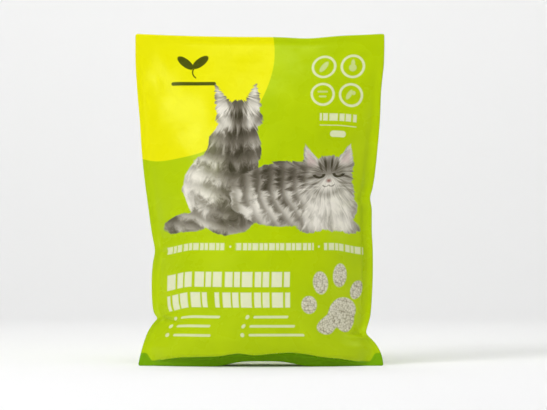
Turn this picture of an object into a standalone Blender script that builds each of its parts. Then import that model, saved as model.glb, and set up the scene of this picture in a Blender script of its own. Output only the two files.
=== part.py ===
"""A sealed stand-up bag of cat litter, modelled as one soft solid that stands on its base.

Metres, +Z up. The origin is under the middle of the bag, on the floor. The front faces -Y.
"""

import math

import bmesh
import bpy

# Overall size of the filled bag.
FLAT_WIDTH = 0.285  # the film as cut, kept along the empty top edge
HEIGHT = 0.380
BASE_HALF_DEPTH = 0.037  # the gusset's flat, on the floor
CREASE_HEIGHT = 0.013  # where the front and back panels turn under to the base
CREASE_HALF_DEPTH = 0.046
BELLY_HALF_DEPTH = 0.054

# The heat seals: films pressed together into one flat strip.
SEAL_WIDTH = 0.0085
SEAL_THICKNESS = 0.0012
TOP_SEAL_HEIGHT = 0.012

# Half the width at each height. The stiff corners of the base flare, the seals pinch in above them,
# and the filled body draws the sides in from the flat width of the top.
HALF_WIDTHS = (
    (0.000, 0.1405),
    (CREASE_HEIGHT, 0.1370),
    (0.027, 0.1310),
    (0.043, 0.1210),
    (0.054, 0.1195),
    (0.070, 0.1250),
    (0.095, 0.1262),
    (0.132, 0.1250),
    (0.164, 0.1262),
    (0.192, 0.1280),
    (0.222, 0.1318),
    (0.281, 0.1372),
    (0.317, 0.1400),
    (0.350, FLAT_WIDTH / 2),
    (HEIGHT, FLAT_WIDTH / 2),
)

# Half the depth in the middle of the panel at each height, from the base to the flat head space.
HALF_DEPTHS = (
    (0.000, BASE_HALF_DEPTH),
    (CREASE_HEIGHT, CREASE_HALF_DEPTH),
    (0.040, 0.0515),
    (0.085, BELLY_HALF_DEPTH),
    (0.135, 0.0530),
    (0.190, 0.0485),
    (0.240, 0.0395),
    (0.285, 0.0280),
    (0.325, 0.0155),
    (0.350, 0.0070),
    (HEIGHT - TOP_SEAL_HEIGHT, SEAL_THICKNESS / 2),
    (HEIGHT, SEAL_THICKNESS / 2),
)

RINGS = 36  # level steps from the base to the top
PANEL_STEPS = 26  # steps across each panel, between its two seals
ROUND_OUT = 0.78  # how full the section is: 0.5 is an ellipse, 1 a parabola

FILM_LIME = (0.47, 0.66, 0.01, 1.0)


def slope_at(points, i):
    """The slope of a smooth curve at point i, level at a peak, a dip or the edge of a flat."""
    place, value = points[i]
    before = points[max(i - 1, 0)]
    after = points[min(i + 1, len(points) - 1)]
    if (after[1] - value) * (value - before[1]) <= 0 and 0 < i < len(points) - 1:
        return 0.0
    return (after[1] - before[1]) / (after[0] - before[0])


def smooth_value(points, place):
    """Read a smooth curve through (place, value) points."""
    for i in range(len(points) - 1):
        start, low = points[i]
        end, high = points[i + 1]
        if place <= end:
            span = end - start
            t = (place - start) / span
            return (
                (1 + 2 * t) * (1 - t) ** 2 * low
                + t * (1 - t) ** 2 * span * slope_at(points, i)
                + t * t * (3 - 2 * t) * high
                + t * t * (t - 1) * span * slope_at(points, i + 1)
            )
    return points[-1][1]


def ring_heights():
    """Level steps, closer together near the base, with one on the crease."""
    heights = [HEIGHT * (i / RINGS) ** 1.35 for i in range(RINGS + 1)]
    nearest = min(range(1, RINGS), key=lambda i: abs(heights[i] - CREASE_HEIGHT))
    heights[nearest] = CREASE_HEIGHT
    return heights


def section(height):
    """The outline of the bag at one height, counterclockwise from its right edge."""
    half_width = smooth_value(HALF_WIDTHS, height)
    half_depth = max(smooth_value(HALF_DEPTHS, height), SEAL_THICKNESS / 2)
    panel_half = half_width - SEAL_WIDTH
    seal = SEAL_THICKNESS / 2
    back = [(half_width, seal)]
    for step in range(PANEL_STEPS + 1):
        across = 1 - 2 * step / PANEL_STEPS
        bulge = (1 - across * across) ** ROUND_OUT
        back.append((panel_half * across, seal + (half_depth - seal) * bulge))
    back.append((-half_width, seal))
    front = [(-x, -y) for x, y in back]
    return back + front


def make_bag():
    """Shape a tube with closed ends into the bag, one section for each ring."""
    heights = ring_heights()
    outline_points = len(section(0))
    shape = bmesh.new()
    bmesh.ops.create_cone(
        shape,
        cap_ends=True,
        cap_tris=False,
        segments=outline_points,
        radius1=FLAT_WIDTH / 2,
        radius2=FLAT_WIDTH / 2,
        depth=HEIGHT,
    )
    uprights = [e for e in shape.edges if abs(e.verts[0].co.z - e.verts[1].co.z) > HEIGHT / 2]
    bmesh.ops.subdivide_edges(shape, edges=uprights, cuts=RINGS - 1)

    # Each vertex keeps its ring and its turn about the tube, and takes the section's point there.
    # A quarter of a step keeps a vertex that lies just under a whole step from slipping back.
    sections = [section(height) for height in heights]
    step = math.tau / outline_points
    for vertex in shape.verts:
        turn = math.atan2(vertex.co.y, vertex.co.x) % math.tau
        point = math.floor(turn / step + 0.25) % outline_points
        ring = round((vertex.co.z / HEIGHT + 0.5) * RINGS)
        x, y = sections[ring][point]
        vertex.co = (x, y, heights[ring])
    bmesh.ops.recalc_face_normals(shape, faces=shape.faces)

    mesh = bpy.data.meshes.new("litter_bag")
    shape.to_mesh(mesh)
    shape.free()
    return bpy.data.objects.new("litter_bag", mesh)


def film_material():
    """Glossy printed laminate film."""
    film = bpy.data.materials.new("printed_film")
    film.use_nodes = True
    shader = film.node_tree.nodes["Principled BSDF"]
    shader.inputs["Base Color"].default_value = FILM_LIME
    shader.inputs["Roughness"].default_value = 0.3
    shader.inputs["Metallic"].default_value = 0.0
    return film


for existing in list(bpy.data.objects):
    bpy.data.objects.remove(existing)

parts = bpy.data.collections.new("cat_litter_bag")
bpy.context.scene.collection.children.link(parts)
bag = make_bag()
bag.data.materials.append(film_material())
bag.data.shade_smooth()
bag.data.set_sharp_from_angle(angle=0.6)
parts.objects.link(bag)
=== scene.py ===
"""A sealed stand-up bag of cat litter, standing on a pale studio floor."""

import math

import bmesh
import bpy
import numpy as np
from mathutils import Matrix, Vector, noise


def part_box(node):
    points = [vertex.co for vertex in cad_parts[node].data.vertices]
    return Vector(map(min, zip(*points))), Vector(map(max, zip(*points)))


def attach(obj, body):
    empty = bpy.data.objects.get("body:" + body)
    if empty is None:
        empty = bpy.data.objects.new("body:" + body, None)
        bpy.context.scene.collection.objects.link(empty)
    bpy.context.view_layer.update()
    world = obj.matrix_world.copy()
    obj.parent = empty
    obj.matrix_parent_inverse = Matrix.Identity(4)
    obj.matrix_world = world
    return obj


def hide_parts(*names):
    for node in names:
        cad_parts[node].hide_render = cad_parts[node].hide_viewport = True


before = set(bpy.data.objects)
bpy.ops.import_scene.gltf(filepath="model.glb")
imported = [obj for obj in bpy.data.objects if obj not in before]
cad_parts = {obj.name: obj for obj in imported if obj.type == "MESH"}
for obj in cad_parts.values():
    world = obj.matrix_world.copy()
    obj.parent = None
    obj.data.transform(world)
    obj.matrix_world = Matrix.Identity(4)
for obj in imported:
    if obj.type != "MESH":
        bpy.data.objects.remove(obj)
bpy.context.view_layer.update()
(BAG_LEFT, _, FLOOR), (BAG_RIGHT, _, BAG_TOP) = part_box("litter_bag")

# ---------------------------------------------------------------------------------------------------
# The studio: a white paper sweep that runs from the floor up behind the bag, soft boxes on the left,
# above and on the right, and a long lens at the height of the bag's middle.

SWEEP_WIDTH = 6.0
SWEEP_FRONT = -5.0
SWEEP_BACK = 1.6
SWEEP_RISE = 3.0
SWEEP_BEND = 0.7  # radius of the paper's bend

bpy.ops.object.select_all(action="DESELECT")
bpy.ops.mesh.primitive_plane_add(size=1)
sweep = bpy.context.object
sweep.name = "paper_sweep"
sweep.scale = (SWEEP_WIDTH, SWEEP_BACK - SWEEP_FRONT, 1)
sweep.location = (0, (SWEEP_BACK + SWEEP_FRONT) / 2, FLOOR)
bpy.ops.object.transform_apply(location=True, rotation=True, scale=True)
bpy.ops.object.mode_set(mode="EDIT")
shape = bmesh.from_edit_mesh(sweep.data)
for edge in shape.edges:
    edge.select_set(all(v.co.y > SWEEP_BACK - 0.01 for v in edge.verts))
bmesh.update_edit_mesh(sweep.data)
bpy.ops.mesh.extrude_edges_move(TRANSFORM_OT_translate={"value": (0, 0, SWEEP_RISE)})
shape = bmesh.from_edit_mesh(sweep.data)
for edge in shape.edges:
    edge.select_set(all(v.co.y > SWEEP_BACK - 0.01 and v.co.z < FLOOR + 0.01 for v in edge.verts))
bmesh.update_edit_mesh(sweep.data)
bpy.ops.mesh.bevel(offset=SWEEP_BEND, segments=24, affect="EDGES")
bpy.ops.object.mode_set(mode="OBJECT")
sweep.data.shade_smooth()
paper = bpy.data.materials.new("white_paper")
paper.use_nodes = True
paper_shader = paper.node_tree.nodes["Principled BSDF"]
paper_shader.inputs["Base Color"].default_value = (0.92, 0.92, 0.92, 1)
paper_shader.inputs["Roughness"].default_value = 0.9
paper_shader.inputs["Specular IOR Level"].default_value = 0.1
sweep.data.materials.append(paper)

studio = bpy.data.worlds.new("studio")
studio.use_nodes = True
studio.node_tree.nodes["Background"].inputs["Color"].default_value = (1, 1, 1, 1)
studio.node_tree.nodes["Background"].inputs["Strength"].default_value = 0.25
bpy.context.scene.world = studio

SOFT_BOXES = (  # name, place, width, watts
    ("left_box", (-1.9, -2.3, 1.5), 1.2, 34),
    ("top_box", (0.0, -1.3, 2.8), 1.8, 34),
    ("right_box", (2.6, -0.9, 0.9), 0.8, 7),
    ("back_box", (0.0, 1.0, 2.8), 2.0, 40),
)
for name, place, width, watts in SOFT_BOXES:
    light = bpy.data.lights.new(name, "AREA")
    light.shape = "SQUARE"
    light.size = width
    light.energy = watts
    box = bpy.data.objects.new(name, light)
    box.location = place
    aim = Vector((0, 0, BAG_TOP / 2)) - box.location
    box.rotation_euler = aim.to_track_quat("-Z", "Y").to_euler()
    bpy.context.scene.collection.objects.link(box)

CAMERA_DISTANCE = 4.0
CAMERA_RIGHT = 0.0155
CAMERA_HEIGHT = 0.184
VIEW_WIDTH = 0.626  # metres across the view, at the bag
lens = bpy.data.cameras.new("long_lens")
lens.sensor_width = 36
lens.lens = lens.sensor_width * CAMERA_DISTANCE / VIEW_WIDTH
camera = bpy.data.objects.new("camera", lens)
camera.location = (CAMERA_RIGHT, -CAMERA_DISTANCE, CAMERA_HEIGHT)
camera.rotation_euler = (math.radians(90), 0, 0)
bpy.context.scene.collection.objects.link(camera)
bpy.context.scene.camera = camera
bpy.context.scene.view_settings.view_transform = "Standard"

# ---------------------------------------------------------------------------------------------------
# The pouch: two sheets of glossy laminate, front and back, heat-sealed to each other down both sides
# and along the top, and to a gusset at the bottom whose sealed edge makes a short skirt. The seals
# are stiff: they keep their cut width at the corners and buckle where the filled body pulls them in.

MM = 0.001
FILM_WIDTH = 285 * MM
SEAL = 8.5 * MM
TOP_SEAL = 12 * MM
FILM_GAP = 0.35 * MM  # half the thickness of a seal
COLUMNS = 72
ROWS = 98

# The line of each side seal from the bottom corner to the top corner: x, y, z in millimetres.
LEFT_SEAL = (
    (-139.5, 0, 0),
    (-137.0, 0, 12),
    (-133.5, 0, 25),
    (-128.5, -1, 38),
    (-122.0, -3, 49),
    (-116.8, -6, 54.5),
    (-121.0, -2, 60),
    (-123.4, 2, 72),
    (-124.0, 3, 95),
    (-122.8, 2, 116),
    (-120.0, -3, 132),
    (-122.5, 0, 145),
    (-125.0, 1, 160),
    (-129.0, 0, 190),
    (-132.3, 0, 215),
    (-135.4, 0, 247),
    (-137.6, 0, 281),
    (-140.6, 0, 316),
    (-142.4, 0, 350),
    (-142.5, 0, 380),
)
RIGHT_SEAL = (
    (141.5, 0, 0),
    (139.4, 0, 12),
    (134.8, 0, 22),
    (128.5, -2, 30),
    (121.4, -6, 37),
    (123.0, -2, 45),
    (126.5, 2, 58),
    (128.3, 3, 80),
    (129.3, 2, 105),
    (129.2, 1, 130),
    (128.0, 0, 155),
    (127.9, -1, 180),
    (125.8, -3, 192),
    (128.6, 0, 202),
    (131.3, 0, 218),
    (134.4, 0, 247),
    (137.3, 0, 281),
    (138.8, 0, 316),
    (142.0, 0, 350),
    (142.5, 0, 380),
)


def smooth_line(points, count):
    """Points evenly spaced along a smooth curve through the given ones, and the curve's length."""
    given = np.array(points, float)
    steps = np.sqrt(np.linalg.norm(np.diff(given, axis=0), axis=1))
    knots = np.concatenate([[0], np.cumsum(steps)])
    slopes = np.array([
        (given[min(i + 1, len(given) - 1)] - given[max(i - 1, 0)])
        / (knots[min(i + 1, len(given) - 1)] - knots[max(i - 1, 0)])
        for i in range(len(given))
    ])
    fine = []
    for i in range(len(given) - 1):
        span = knots[i + 1] - knots[i]
        for t in np.linspace(0, 1, 24, endpoint=False):
            fine.append(
                (1 + 2 * t) * (1 - t) ** 2 * given[i]
                + t * (1 - t) ** 2 * span * slopes[i]
                + t * t * (3 - 2 * t) * given[i + 1]
                + t * t * (t - 1) * span * slopes[i + 1]
            )
    fine = np.array([*fine, given[-1]])
    along = np.concatenate([[0], np.cumsum(np.linalg.norm(np.diff(fine, axis=0), axis=1))])
    even = np.linspace(0, along[-1], count)
    return np.stack([np.interp(even, along, fine[:, axis]) for axis in range(3)], 1), along[-1]


left_seal, left_length = smooth_line(LEFT_SEAL, 400)
right_seal, right_length = smooth_line(RIGHT_SEAL, 400)
left_seal, right_seal = left_seal * MM, right_seal * MM
FILM_HEIGHT = (left_length + right_length) / 2 * MM

CREASE_ROW = 4  # the fold above the skirt, in rows from the cut edge
SKIRT_DEPTH = 19 * MM
CREASE_DEPTH = 43 * MM
LENS_HALF = 120 * MM  # the base opens between these, and the corners beyond stay shut
# Height of the crease across the front, and the lift of the skirt's cut edge: x, z in millimetres.
CREASE_LINE = (
    (-140, 1.0), (-120, 5), (-108, 8), (-92, 10.5), (-69, 11.5), (-46, 12.5), (-25, 16), (-6, 13.5),
    (14, 15.5), (34, 17), (52, 15), (69, 11.5), (92, 9), (114, 5), (142, 1.0),
)
BODY_DEPTHS = (  # height, half depth in the middle
    (14, 42), (30, 49), (60, 54), (95, 55), (140, 53), (190, 48), (240, 39.5), (285, 28.5), (325, 16.5),
    (352, 7), (368, 0.6), (392, 0.6),
)


def bottom_lift(x):
    """The skirt's cut edge stands on the floor, with a low arch in the middle."""
    return 6.0 * MM * np.exp(-(((x - 3 * MM) / (40 * MM)) ** 4))


def top_dip(x):
    """The slack top edge sags between its corners."""
    sag = 3.6 * MM * np.clip(1 - np.abs(x / (FILM_WIDTH / 2)) ** 2, 0, 1)
    return sag + 2.2 * MM * np.exp(-(((x - 55 * MM) / (26 * MM)) ** 2))


def standing(across, up, side):
    """Where a point of the flat sheet lies before the bag fills. side is -1 in front, 1 behind."""
    row = np.clip(up / FILM_HEIGHT, 0, 1) * (len(left_seal) - 1)
    ends = [
        np.stack([np.interp(row, np.arange(len(seal)), seal[:, axis]) for axis in range(3)], -1)
        for seal in (left_seal, right_seal)
    ]
    share = (across / FILM_WIDTH + 0.5)[..., None]
    seam = ends[0] * (1 - share) + ends[1] * share
    x = seam[..., 0]
    edge = FILM_WIDTH / 2 - np.abs(across)

    # Away from the side seals the film climbs evenly. Beside them it keeps step with the seal.
    inland = np.clip((edge - SEAL) / (45 * MM), 0, 1)
    inland = inland * inland * (3 - 2 * inland)
    even = up * (BAG_TOP / FILM_HEIGHT)
    z = seam[..., 2] * (1 - inland) + even * inland
    z = z - top_dip(x) * np.clip((up / FILM_HEIGHT - 0.8) / 0.2, 0, 1)

    # The body's bulge, from lens-shaped sections between the two seals.
    centre = (ends[0][..., 0] + ends[1][..., 0]) / 2
    half = (ends[1][..., 0] - ends[0][..., 0]) / 2 - SEAL
    share = np.clip(np.abs((x - centre) / half), 0, 1)
    heights, depths = np.array(BODY_DEPTHS).T * MM
    bulge = np.interp(z, heights, depths) * (1 - share * share) ** 0.8

    # The skirt stands on its cut edge, well under the body, which folds over it at the crease.
    lens = np.clip(1 - (x / LENS_HALF) ** 2, 0, 1) ** 0.7
    crease_x, crease_z = np.array(CREASE_LINE).T * MM
    climb = np.clip(up / (CREASE_ROW * FILM_HEIGHT / ROWS), 0, 1)
    rise = np.interp(climb, (0, 0.25, 0.5, 0.75, 1), (0, 0.45, 0.8, 0.95, 1))
    reach = np.interp(climb, (0, 0.25, 0.5, 0.75, 1), (0, 0.02, 0.1, 0.5, 1))
    skirt_z = bottom_lift(x) + (np.interp(x, crease_x, crease_z) - bottom_lift(x)) * rise
    skirt_y = lens * (SKIRT_DEPTH + (CREASE_DEPTH - SKIRT_DEPTH) * reach)
    in_skirt = (up < (CREASE_ROW + 0.5) * FILM_HEIGHT / ROWS) & (edge > SEAL)
    z = np.where(in_skirt, skirt_z, z)
    bulge = np.where(in_skirt, skirt_y, bulge)
    sealed = (edge <= SEAL + 1e-6) | (up > FILM_HEIGHT - TOP_SEAL)
    bulge = np.where(sealed, 0, bulge)
    y = seam[..., 1] * (1 - inland) + side * (FILM_GAP + bulge)
    held = sealed | in_skirt
    return np.stack([x, y, z], -1), held


SIM_SCALE = 10  # cloth settings suit things a few metres across


def filled_film(name, side, pressure):
    """One sheet of film, pushed out by the litter while its seals and its skirt are held."""
    bpy.ops.object.select_all(action="DESELECT")
    bpy.ops.mesh.primitive_grid_add(x_subdivisions=COLUMNS, y_subdivisions=ROWS, size=1)
    film = bpy.context.object
    film.name = name
    film.scale = (FILM_WIDTH, FILM_HEIGHT, 1)
    film.location = (0, FILM_HEIGHT / 2, 0)
    bpy.ops.object.transform_apply(location=True, rotation=True, scale=True)

    if side > 0:
        film.data.flip_normals()

    flat = np.empty(len(film.data.vertices) * 3)
    film.data.vertices.foreach_get("co", flat)
    flat = flat.reshape(-1, 3)
    places, held = standing(flat[:, 0], flat[:, 1], side)
    film.shape_key_add(name="flat")
    start = film.shape_key_add(name="standing")
    start.data.foreach_set("co", (places * SIM_SCALE).ravel())
    start.value = 1
    film.data.shape_keys.key_blocks["flat"].data.foreach_set("co", (flat * SIM_SCALE).ravel())

    seals = film.vertex_groups.new(name="seals")
    seals.add([int(i) for i in np.flatnonzero(held)], 1.0, "REPLACE")
    fill = film.vertex_groups.new(name="fill")
    for i, (_, up, _) in enumerate(flat):
        fill.add([i], float(np.clip(1.05 - up / FILM_HEIGHT, 0.04, 1)), "REPLACE")

    bpy.ops.object.modifier_add(type="CLOTH")
    cloth = film.modifiers[-1]
    cloth.settings.rest_shape_key = film.data.shape_keys.key_blocks["flat"]
    cloth.settings.quality = 8
    cloth.settings.mass = 0.3
    cloth.settings.tension_stiffness = 80
    cloth.settings.compression_stiffness = 80
    cloth.settings.shear_stiffness = 40
    cloth.settings.bending_stiffness = 1.0
    cloth.settings.air_damping = 2
    cloth.settings.vertex_group_mass = "seals"
    cloth.settings.use_pressure = True
    cloth.settings.uniform_pressure_force = pressure
    cloth.settings.vertex_group_pressure = "fill"
    cloth.settings.effector_weights.gravity = 0
    cloth.collision_settings.use_collision = False
    cloth.point_cache.frame_start = 1
    cloth.point_cache.frame_end = 40
    for step in range(1, 31):
        bpy.context.scene.frame_set(step)
    settled = film.evaluated_get(bpy.context.evaluated_depsgraph_get()).data
    places = np.empty(len(settled.vertices) * 3)
    settled.vertices.foreach_get("co", places)
    places = places.reshape(-1, 3) / SIM_SCALE
    film.modifiers.remove(cloth)
    film.shape_key_clear()
    film.data.vertices.foreach_set("co", places.ravel())
    bpy.context.scene.frame_set(1)

    # The cut edges stay straight and sharp, and the body folds crisply over the skirt.
    shape = bmesh.new()
    shape.from_mesh(film.data)
    crispness = shape.edges.layers.float.new("crease_edge")
    fold = CREASE_ROW * FILM_HEIGHT / ROWS
    for edge in shape.edges:
        ends = [flat[v.index] for v in edge.verts]
        if edge.is_boundary:
            edge[crispness] = 1
        elif all(abs(up - fold) < 1e-5 and abs(across) < LENS_HALF for across, up, _ in ends):
            edge[crispness] = 0.75
    shape.to_mesh(film.data)
    shape.free()
    return film


front = filled_film("litter_pouch", -1, 12)
back = filled_film("back_film", 1, 12)
for loop in back.data.uv_layers[0].data:
    loop.uv.x += 2  # the back panel's print is its own, so its map lies beside the front's

# The two sheets become one closed bag: their rims are joined all round, which also lays the gusset's
# film between the two skirts.
bpy.ops.object.select_all(action="DESELECT")
back.select_set(True)
front.select_set(True)
bpy.context.view_layer.objects.active = front
bpy.ops.object.join()
pouch = front
bpy.ops.object.mode_set(mode="EDIT")
bpy.ops.mesh.select_mode(type="EDGE")
bpy.ops.mesh.select_all(action="DESELECT")
shape = bmesh.from_edit_mesh(pouch.data)
for edge in shape.edges:
    edge.select_set(edge.is_boundary)
bmesh.update_edit_mesh(pouch.data)
bpy.ops.mesh.bridge_edge_loops()
bpy.ops.mesh.select_all(action="DESELECT")
shape = bmesh.from_edit_mesh(pouch.data)
for edge in shape.edges:
    low, high = (v.co for v in edge.verts)
    crosses = low.y * high.y < 0 and abs(low.y - high.y) > 4 * MM
    upright_cut = abs(low.x - high.x) < 3 * MM
    near_floor = max(low.z, high.z) < 9 * MM
    edge.select_set(crosses and upright_cut and near_floor)
bmesh.update_edit_mesh(pouch.data)
bpy.ops.mesh.subdivide(number_cuts=9)
bpy.ops.object.mode_set(mode="OBJECT")
bpy.ops.object.modifier_add(type="SUBSURF")
pouch.modifiers[-1].levels = pouch.modifiers[-1].render_levels = 1
bpy.ops.object.modifier_apply(modifier=pouch.modifiers[-1].name)

# Sharper folds than the sheet's own rows can hold are pressed in along lines on the film, in
# millimetres across from its middle and up from its cut edge: the line, width, depth.
FRONT_FOLDS = (
    (((-136, 62), (-122, 58), (-106, 52), (-88, 48)), 2.6, 2.2),
    (((-134, 66), (-118, 68), (-100, 72)), 4.0, 1.0),
    (((-137, 141), (-124, 141), (-106, 146)), 3.0, 0.9),
    (((137, 44), (124, 43), (108, 41)), 2.6, 2.0),
    (((136, 48), (122, 54), (104, 62)), 4.5, 1.1),
    (((137, 203), (122, 200), (102, 192)), 3.2, 0.9),
    (((131, 64), (131, 150), (131, 250), (133, 320)), 2.2, 1.1),
    (((-132, 90), (-131, 180), (-132, 300)), 3.0, 0.5),
    (((-130, 372), (-112, 340), (-98, 300)), 7.0, 0.8),
    (((126, 372), (112, 345), (104, 318)), 6.0, 0.8),
    (((40, 380), (48, 350), (60, 320)), 6.0, 0.6),
)
BACK_FOLDS = (
    (((-136, 62), (-116, 56), (-94, 54)), 3.0, 1.8),
    (((137, 44), (120, 46), (98, 56)), 3.0, 1.8),
    (((-137, 141), (-118, 138), (-96, 128)), 3.4, 1.0),
    (((137, 203), (118, 208), (92, 218)), 3.4, 1.0),
    (((-126, 372), (-104, 336), (-84, 290)), 7.0, 1.0),
    (((128, 372), (108, 330), (96, 296)), 7.0, 1.0),
)


def press_folds(places, normals, across, up, folds):
    """Press each fold into the film: a valley along its line, and a ridge beside it."""
    for line, width, depth in folds:
        line = np.array(line, float) * MM
        width, depth = width * MM, depth * MM
        nearest = np.full(len(across), 9.0)
        signed = np.zeros(len(across))
        along = np.zeros(len(across))
        for i, (start, end) in enumerate(zip(line[:-1], line[1:])):
            run = end - start
            length = np.hypot(*run)
            ahead = ((across - start[0]) * run[0] + (up - start[1]) * run[1]) / length**2
            ahead = np.clip(ahead, 0, 1)
            off_x = across - start[0] - ahead * run[0]
            off_y = up - start[1] - ahead * run[1]
            distance = np.hypot(off_x, off_y)
            closer = distance < nearest
            side = np.sign(run[0] * off_y - run[1] * off_x)
            nearest = np.where(closer, distance, nearest)
            signed = np.where(closer, distance * side, signed)
            along = np.where(closer, (i + ahead) / (len(line) - 1), along)
        fade = np.clip((1 - along) * 1.6, 0, 1) * np.clip(along * 12 + 0.15, 0, 1)
        valley = np.exp(-((signed / width) ** 2))
        ridge = np.exp(-(((signed - 2.1 * width) / (1.5 * width)) ** 2))
        places += normals * ((0.55 * ridge - valley) * depth * fade)[:, None]


def film_places(mesh):
    """Each vertex's place on the flat sheet, across and up, and whether it is on the back."""
    corner_vertices = np.empty(len(mesh.loops), int)
    mesh.loops.foreach_get("vertex_index", corner_vertices)
    spots = np.empty(len(mesh.loops) * 2)
    mesh.uv_layers[0].data.foreach_get("uv", spots)
    flat = np.zeros((len(mesh.vertices), 2))
    flat[corner_vertices] = spots.reshape(-1, 2)
    behind = flat[:, 0] > 1.5
    across = (flat[:, 0] - 2 * behind - 0.5) * FILM_WIDTH
    return across, flat[:, 1] * FILM_HEIGHT, behind


vertices = pouch.data.vertices
places = np.empty(len(vertices) * 3)
vertices.foreach_get("co", places)
places = places.reshape(-1, 3)
normals = np.empty(len(vertices) * 3)
vertices.foreach_get("normal", normals)
normals = normals.reshape(-1, 3)
across, up, behind = film_places(pouch.data)
pressed = places.copy()
press_folds(pressed, normals, across, up, FRONT_FOLDS)
pressed_back = places.copy()
press_folds(pressed_back, normals, across, up, BACK_FOLDS)
pressed = np.where(behind[:, None], pressed_back, pressed)

# The slack film above the litter waves softly, and the litter shows through as a faint unevenness.
edge = FILM_WIDTH / 2 - np.abs(across)
body = np.clip((edge - SEAL) / (14 * MM), 0, 1)
body *= np.clip((FILM_HEIGHT - TOP_SEAL - up) / (20 * MM), 0, 1)
body *= np.clip((up - 18 * MM) / (12 * MM), 0, 1)
slack = np.clip((up - 220 * MM) / (90 * MM), 0, 1)
waves = np.array([
    noise.noise((x * 17, y * 40, z * 9)) * (0.5 + 1.1 * empty) + 0.35 * noise.noise((x * 45, 3, z * 38))
    for (x, y, z), empty in zip(places, slack)
])
pressed += normals * (waves * body * 1.5 * MM)[:, None]
vertices.foreach_set("co", pressed.ravel())
pouch.data.update()
pouch.data.shade_smooth()

# ---------------------------------------------------------------------------------------------------
# The film's print, laid down by rollers on the inner face of a clear gloss sheet: solid lime with a
# yellow disc that runs off the top left corner, two grey cats, cream marks and a paw print filled
# with granules. Below the fold the film is a deeper green, partly the gusset's ink and partly painted
# shade for the recess under the belly. The name's place holds a plain sprout and bar.


class Ink:
    """A socket of the film's nodes. Sums, products and unions of inks add their own nodes."""

    def __init__(self, tree, socket):
        self.tree = tree
        self.socket = socket

    def node(self, kind, settings, inputs, output=0):
        """Add a node: its settings first, then the values or links of its sockets."""
        node = self.tree.nodes.new(kind)
        for name, value in settings.items():
            if name == "stops":
                marks = node.color_ramp.elements
                for place, colour in value[1:-1]:
                    marks.new(place).color = colour
                for mark, (place, colour) in ((marks[0], value[0]), (marks[-1], value[-1])):
                    mark.position = place
                    mark.color = colour
            else:
                setattr(node, name, value)
        for key, value in inputs.items():
            if isinstance(value, Ink):
                self.tree.links.new(value.socket, node.inputs[key])
            else:
                node.inputs[key].default_value = value
        return Ink(self.tree, node.outputs[output])

    def math(self, operation, *values, clamp=False):
        settings = {"operation": operation, "use_clamp": clamp}
        return self.node("ShaderNodeMath", settings, dict(enumerate(values)))

    def vector(self, operation, *values, output=0):
        settings = {"operation": operation}
        return self.node("ShaderNodeVectorMath", settings, dict(enumerate(values)), output)

    def __add__(self, other):
        return self.math("ADD", self, other)

    __radd__ = __add__

    def __sub__(self, other):
        return self.math("SUBTRACT", self, other)

    def __rsub__(self, other):
        return self.math("SUBTRACT", other, self)

    def __mul__(self, other):
        return self.math("MULTIPLY", self, other)

    __rmul__ = __mul__

    def __or__(self, other):
        return self.math("MAXIMUM", self, other)

    def __and__(self, other):
        return self.math("MINIMUM", self, other)

    def part(self, axis):
        return self.node("ShaderNodeSeparateXYZ", {}, {0: self}, axis)

    def inside(self, limit, blur):
        """1 where this value is under the limit, 0 where it is over, with a soft edge."""
        return self.math("MULTIPLY_ADD", self, -1 / blur, 0.5 + limit / blur, clamp=True)

    def under(self, mask, colour):
        """This colour with another one printed over it."""
        inputs = {0: mask, 6: self, 7: colour}
        return self.node("ShaderNodeMix", {"data_type": "RGBA"}, inputs, 2)


def swatch(red, green, blue):
    """A printed colour, from the 0 to 255 values of its swatch."""
    parts = [(value / 255 + 0.055) / 1.055 for value in (red, green, blue)]
    return tuple(part**2.4 for part in parts) + (1,)


def moved(spot, x, y, wide=1, high=1, turn=0):
    """The spot in a figure's own frame: from its middle, turned with it, in its half sizes."""
    inputs = {
        "Vector": spot,
        "Location": (x, y, 0),
        "Rotation": (0, 0, math.radians(turn)),
        "Scale": (wide, high, 1),
    }
    return spot.node("ShaderNodeMapping", {"vector_type": "TEXTURE"}, inputs)


def oval(spot, x, y, wide, high, turn=0):
    """0 in the middle of an oval, 1 on its edge, more outside."""
    local = moved(spot, x, y, wide, high, turn)
    return local.vector("LENGTH", local, output=1)


def rim(spot, x, y, wide, high, turn=0):
    """About how far outside an oval's edge the spot is, in millimetres; negative inside."""
    size = min(wide, high)
    away = oval(spot, x, y, wide, high, turn)
    return away.math("MULTIPLY_ADD", away, size, -size)


def glow(spot, x, y, wide, high, turn=0):
    """1 in the middle of an oval, fading to 0 at its edge."""
    return oval(spot, x, y, wide, high, turn).inside(0.62, 0.76)


def melt(first, second, soft):
    """Two shapes grown together."""
    return first.math("SMOOTH_MIN", first, second, soft)


def reach(spot, x, y):
    """The distance from a point."""
    return spot.vector("DISTANCE", spot, (x, y, 0), output=1)


def band(value, low, high, blur=0.8):
    """Ink between two limits."""
    return value.math("ABSOLUTE", value - (low + high) / 2).inside((high - low) / 2, blur)


def bar(spot, left, right, y, thick):
    """Ink in a level bar with round ends."""
    nearest = spot.vector("MAXIMUM", spot, (left + thick / 2, y, 0))
    nearest = nearest.vector("MINIMUM", nearest, (right - thick / 2, y, 0))
    return spot.vector("DISTANCE", spot, nearest, output=1).inside(thick / 2, 0.8)


def blocks(spot, low, high, pitch, *words):
    """Ink in rows of plain blocks of uneven widths, as long as words: left, right of each."""
    across, upward = spot.part(0), spot.part(1)
    swing = across.math("SINE", across * (2.3 / pitch))
    cell = across.math("MULTIPLY_ADD", across, 1 / pitch, swing * 0.16)
    inked = 1 - cell.math("PINGPONG", cell, 0.5).inside(0.11, 0.9 / pitch)
    line = band(across, *words[0])
    for word in words[1:]:
        line = line | band(across, *word)
    return line & band(upward, low, high) & inked


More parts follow.
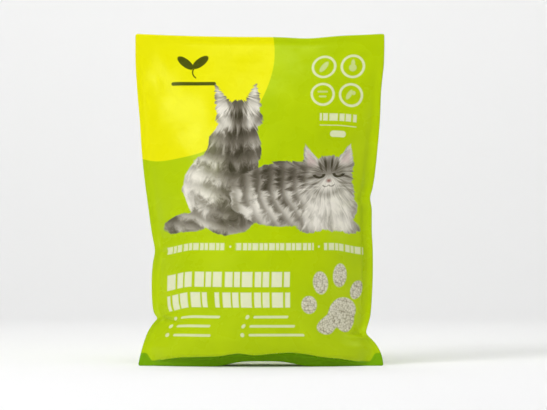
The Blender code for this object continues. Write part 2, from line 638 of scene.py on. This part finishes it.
def ear(spot, x, y, wide, high, turn):
    """About how far outside a pointed ear the spot is, in millimetres."""
    local = moved(spot, x, y, wide, high, turn)
    local = local.vector("ABSOLUTE", local)
    upward = local.part(1)
    tall = local.part(0) + upward.math("POWER", upward, 1.35)
    return tall.math("MULTIPLY_ADD", tall, wide, -wide)


def head_frame(spot, x, y, turn):
    """A frame folded down the middle of a head, which lies 400 mm up in it."""
    lean = math.radians(turn)
    local = moved(spot, x + 400 * math.sin(lean), y - 400 * math.cos(lean), turn=turn)
    return local.vector("ABSOLUTE", local)


def fur(spot, x, y, fineness=9):
    """Strands that run down and outwards from a point."""
    local = moved(spot, x, y)
    down = local.part(1) * -1
    angle = local.math("ARCTAN2", local.part(0), down) * fineness
    length = local.vector("LENGTH", local, output=1) * 0.05
    strand = spot.node("ShaderNodeCombineXYZ", {}, {0: angle, 1: length})
    inputs = {
        "Vector": strand,
        "Scale": 1.0,
        "Detail": 4.0,
        "Roughness": 0.62,
        "Distortion": 0.4,
    }
    return spot.node("ShaderNodeTexNoise", {"noise_dimensions": "2D"}, inputs) - 0.5


film = bpy.data.materials.new("printed_film")
film.use_nodes = True
shader = film.node_tree.nodes["Principled BSDF"]
flat_map = film.node_tree.nodes.new("ShaderNodeUVMap")
flat_map.uv_map = "UVMap"
sheet = Ink(film.node_tree, flat_map.outputs[0])

# Millimetres across from the middle of the front panel, and up from its cut edge.
mm_across, mm_up = FILM_WIDTH / MM, FILM_HEIGHT / MM
spot = sheet.node(
    "ShaderNodeMapping", {}, {0: sheet, "Location": (-mm_across / 2, 0, 0), "Scale": (mm_across, mm_up, 1)}
)

LIME = swatch(181, 207, 2)
YELLOW = swatch(236, 232, 2)
# a deeper green for below the fold, partly painted shade of the recess under the belly
SKIRT_GREEN_AND_PAINTED_SHADE = swatch(120, 172, 1)
OLIVE = swatch(72, 78, 6)
CREAM = swatch(232, 234, 200)
COAT_STOPS = (
    (0.0, swatch(62, 56, 46)),
    (0.28, swatch(104, 97, 86)),
    (0.52, swatch(152, 146, 134)),
    (0.76, swatch(203, 198, 186)),
    (1.0, swatch(236, 231, 219)),
)

cloud = spot.node("ShaderNodeTexNoise", {}, {"Vector": spot, "Scale": 0.018, "Detail": 2.0})
print_colour = sheet.node(
    "ShaderNodeValToRGB",
    {"stops": ((0.3, swatch(176, 203, 1)), (0.7, swatch(186, 211, 3)))},
    {0: cloud},
)
print_colour = print_colour.under(reach(spot, -110, 372).inside(127, 0.9), YELLOW)

# The deeper green of the gusset's sheet shows below the fold.
# Below the fold the skirt is printed a deeper green: partly the gusset's ink, and partly painted shade that
# darkens it as the recess under the overhanging belly would.
print_colour = print_colour.under(spot.part(1).inside(15.2, 1.2), SKIRT_GREEN_AND_PAINTED_SHADE)

# Four rings, folded on to one, with a leaf, a drop, two short bars and a sprig inside.
ring_x, ring_y = 90.6, 338.0
quarter = moved(spot, ring_x, ring_y)
quarter = quarter.vector("ABSOLUTE", quarter)
ring_edge = reach(quarter, 16.6, 17.2)
rings = band(ring_edge, 11.4, 14.2)
faint = oval(spot, 74, 355.2, 3.2, 7.5, -35).inside(1, 0.25)
faint = faint | reach(spot, 107.2, 353.6).inside(4.4, 0.9) | oval(spot, 107.2, 358.2, 2.3, 5.5).inside(1, 0.3)
faint = faint | bar(spot, 68, 80, 324, 2.2) | bar(spot, 69.5, 78.5, 318, 2.2)
faint = faint | oval(spot, 105.2, 321, 2.6, 6.5, -28).inside(1, 0.3)
faint = faint | reach(spot, 110.2, 323.4).inside(2.4, 0.9)
print_colour = print_colour.under(rings * 0.8 | faint * 0.42, CREAM)

# The name's place: a sprout of two leaves over a bar.
sprout = oval(spot, -85, 359, 5.0, 11.5, 50).inside(1, 0.12)
sprout = sprout | oval(spot, -68, 360, 5.0, 11.5, -50).inside(1, 0.12)
sprout = sprout | band(reach(spot, -69.4, 347.4), 6.8, 8.4, 0.8) & spot.part(0).inside(-73, 0.8)
sprout = sprout | bar(spot, -102, -50, 333.5, 4.4)
print_colour = print_colour.under(sprout, OLIVE)

# Plain blocks and bars where the wording goes.
marks = blocks(spot, 289.4, 298.0, 9.2, (70.8, 114.6))
marks = marks | bar(spot, 71, 115, 284, 0.9) | bar(spot, 84, 103, 274, 7.5)
marks = marks | blocks(spot, 137.4, 145.6, 7.0, (-127, -49.5), (-36.5, 64.5), (78, 130))
marks = marks | reach(spot, -43, 141.5).inside(1.3, 0.8) | reach(spot, 71.2, 141.5).inside(1.3, 0.8)
print_colour = print_colour.under(marks * 0.8, CREAM)
marks = blocks(spot, 94.5, 112, 12.4, (-122, 36))
marks = marks | blocks(spot, 70.5, 88, 13.2, (-122, -70), (-60, 36))
print_colour = print_colour.under(marks * 0.92, CREAM)
marks = bar(spot, -108, -56, 59.4, 3) | bar(spot, -108, -63, 48.6, 3) | bar(spot, -108, -60, 37.6, 3)
marks = marks | bar(spot, -12, 34, 59.4, 3) | bar(spot, -12, 47, 48.6, 3) | bar(spot, -12, 58, 38.2, 3)
for x, y in ((-116, 59.4), (-116, 48.6), (-116, 37.6), (-20, 59.4), (-20, 48.6), (-20, 38.2)):
    marks = marks | reach(spot, x, y).inside(2.5, 0.9)
print_colour = print_colour.under(marks * 0.72, CREAM)

# The cat that sits behind, seen from its back, with its tail round it.
strands = fur(spot, -25, 322)
shape = melt(rim(spot, -44, 205, 52, 50), rim(spot, -29, 256, 31, 38), 14)
shape = melt(shape, rim(spot, -24, 291, 27, 22), 5)
shape = melt(shape, rim(spot, -90, 171, 37, 11, 5), 3)
head = head_frame(spot, -24, 291, 4)
ears = ear(head, 16.5, 412, 10, 31, -13)
shape = shape & ears
stripes = spot.part(1) + reach(spot, -36, 150) * -0.35 + strands * 16
stripes = stripes.math("SINE", stripes * 0.46)
coat = glow(spot, -84, 206, 40, 62) * 0.42 - glow(spot, -28, 240, 20, 84) * 0.26 + 0.42
coat = coat - glow(spot, 2, 210, 28, 60) * 0.32 + stripes * 0.1
coat = coat + glow(spot, -46, 288, 14, 24) * 0.22 + ears.inside(-1, 6) * 0.34
coat = coat - glow(head, 0, 412, 9, 20) * 0.2 - glow(head, 9.5, 412, 3, 16, -8) * 0.22
coat = coat + strands * 1.05
coat = coat - band(spot.part(1) + strands * 30, 176, 190, 14) * 0.2
fur_colour = coat.node("ShaderNodeValToRGB", {"stops": COAT_STOPS}, {0: coat})
mask = (shape + strands * 9).inside(0, 1.4)
print_colour = print_colour.under(mask, fur_colour)

# The cat that lies in front, asleep with its chin up.
strands = fur(spot, 86, 226)
shape = melt(rim(spot, 34, 203, 72, 38, 4), rim(spot, 88, 196, 36, 36), 10)
shape = melt(shape, rim(spot, 86, 223, 30, 25, 5), 4)
shape = melt(shape, rim(spot, 64, 167, 19, 9, 4), 3)
shape = melt(shape, rim(spot, 106, 169, 19, 9.5, -6), 3)
head = head_frame(spot, 86, 223, 5)
ears = ear(head, 19, 411, 11.5, 30, -17)
above = 1 - head.part(1).inside(416, 7)
shape = shape & ears
stripes = reach(spot, 96, 226) + strands * 18
stripes = stripes.math("SINE", stripes * 0.42)
coat = glow(spot, 88, 184, 44, 42) * 0.42 - glow(spot, 20, 226, 66, 26, 6) * 0.34 + 0.55
coat = coat + stripes * glow(spot, 14, 200, 72, 60) * 0.17 + glow(spot, -14, 184, 40, 22) * 0.16
coat = coat + glow(spot, 64, 167, 19, 10) * 0.18 + glow(spot, 106, 169, 19, 10) * 0.18
coat = coat - glow(spot, 85, 172, 8, 16) * 0.3
coat = coat + strands * 0.95
face = oval(spot, 86, 223, 28, 24, 5).inside(0.95, 0.3)
look = 0.56 + glow(head, 0, 391, 17, 12) * 0.42 + glow(head, 20, 395, 12, 12) * 0.08
look = look - glow(head, 0, 414, 15, 13) * 0.24 - glow(head, 13, 406, 11, 8) * 0.2
look = look - glow(head, 4, 416, 2.1, 11, -6) * 0.42 - glow(head, 11, 415, 2.1, 10, -20) * 0.38
look = look - glow(head, 22, 401, 11, 2.2, -6) * 0.36 - glow(head, 21, 392, 11, 2.2, -20) * 0.3
look = look + above * ears.inside(-1.5, 5) * 0.3 + strands * 0.75
coat = coat * (1 - face) + look * face + above * ears.inside(0, 4) * (1 - face) * 0.25
lids = oval(head, 12.4, 404.5, 6.6, 4.4, 12)
lids = band(lids, 0.72, 1.16, 0.26) & head.part(1).inside(403.8, 1.2)
lips = band(oval(head, 3.6, 391.4, 3.6, 2.6), 0.7, 1.2, 0.3) & head.part(1).inside(391, 1)
coat = coat - (lids | lips * 0.55) * 0.75
coat = coat + bar(head, 12, 40, 391.5, 0.8) * 0.2 + bar(head, 12, 38, 387.5, 0.8) * 0.16
fur_colour = coat.node("ShaderNodeValToRGB", {"stops": COAT_STOPS}, {0: coat})
fur_colour = fur_colour.under(glow(head, 0, 395.6, 4.4, 3.2), swatch(150, 108, 100))
inner = ear(head, 19.4, 412, 6.4, 22, -17).inside(0, 3)
fur_colour = fur_colour.under(inner * above * 0.6, swatch(205, 180, 176))
mask = (shape + strands * 9).inside(0, 1.4)
print_colour = print_colour.under(mask, fur_colour)

# The paw print, a window on granules: round pellets with dark gaps between.
paw = oval(spot, 60.5, 73.4, 9.8, 10.5, 24) & oval(spot, 74.6, 99, 9.6, 13.4, 12)
paw = paw & oval(spot, 99.6, 108.6, 8.8, 13.8, -8) & oval(spot, 121.4, 96, 6.8, 11.6, -22)
paw = paw.inside(1, 0.14)
pad = melt(rim(spot, 88.5, 50, 13.5, 11, 25), rim(spot, 104, 67, 20, 15, 40), 7)
pad = melt(pad, rim(spot, 112, 56, 11, 12, 10), 6)
paw = paw | pad.inside(0, 1.2)
pellets = {"Vector": spot, "Scale": 0.4, "Randomness": 0.9}
pellets = spot.node("ShaderNodeTexVoronoi", {"voronoi_dimensions": "2D"}, pellets)
tints = {"Vector": spot, "Scale": 0.4, "Randomness": 0.9}
tints = spot.node("ShaderNodeTexVoronoi", {"voronoi_dimensions": "2D"}, tints, 1).part(0)
grain = 1.02 - pellets * 0.75 + (tints - 0.5) * 0.35
grain_colour = grain.node(
    "ShaderNodeValToRGB",
    {"stops": ((0.2, swatch(128, 120, 98)), (0.6, swatch(196, 190, 166)), (1.0, swatch(228, 224, 206)))},
    {0: grain},
)
print_colour = print_colour.under(paw, grain_colour)

# The back panel carries no design of its own.
print_colour = print_colour.under(1 - spot.part(0).inside(mm_across, 1), LIME)

# The gloss face: smooth, a little uneven where the litter presses behind, ribbed along the seals.
soft_dents = {"Vector": spot, "Scale": 0.11, "Detail": 3.0, "Roughness": 0.55}
soft_dents = spot.node("ShaderNodeTexNoise", {}, soft_dents)
handling = {"Vector": spot, "Scale": 0.03, "Detail": 3.0}
handling = spot.node("ShaderNodeTexNoise", {}, handling)
behind = 1 - spot.part(0).inside(mm_across, 1)
across = spot.part(0) - behind * (2 * mm_across)
across = across.math("ABSOLUTE", across)
side_seal = 1 - across.inside((FILM_WIDTH / 2 - SEAL) / MM, 1.2)
top_seal = 1 - spot.part(1).inside((FILM_HEIGHT - TOP_SEAL) / MM, 1.2)
ribs = spot.math("SINE", (spot.part(1) + across) * 3.1)
relief = soft_dents * 0.3 + handling * 0.8 + (side_seal | top_seal) * (ribs * 0.03 - 0.06)
gloss = {"Height": relief, "Distance": 1 * MM, "Strength": 0.8}
gloss = spot.node("ShaderNodeBump", {}, gloss)
links = film.node_tree.links
links.new(print_colour.socket, shader.inputs["Base Color"])
links.new((handling * 0.22 + 0.17).socket, shader.inputs["Roughness"])
links.new(gloss.socket, shader.inputs["Normal"])
shader.inputs["Specular IOR Level"].default_value = 0.3
shader.inputs["Specular Tint"].default_value = (0.85, 1.0, 0.3, 1)
pouch.data.materials.append(film)

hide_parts("litter_bag")
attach(pouch, "root")
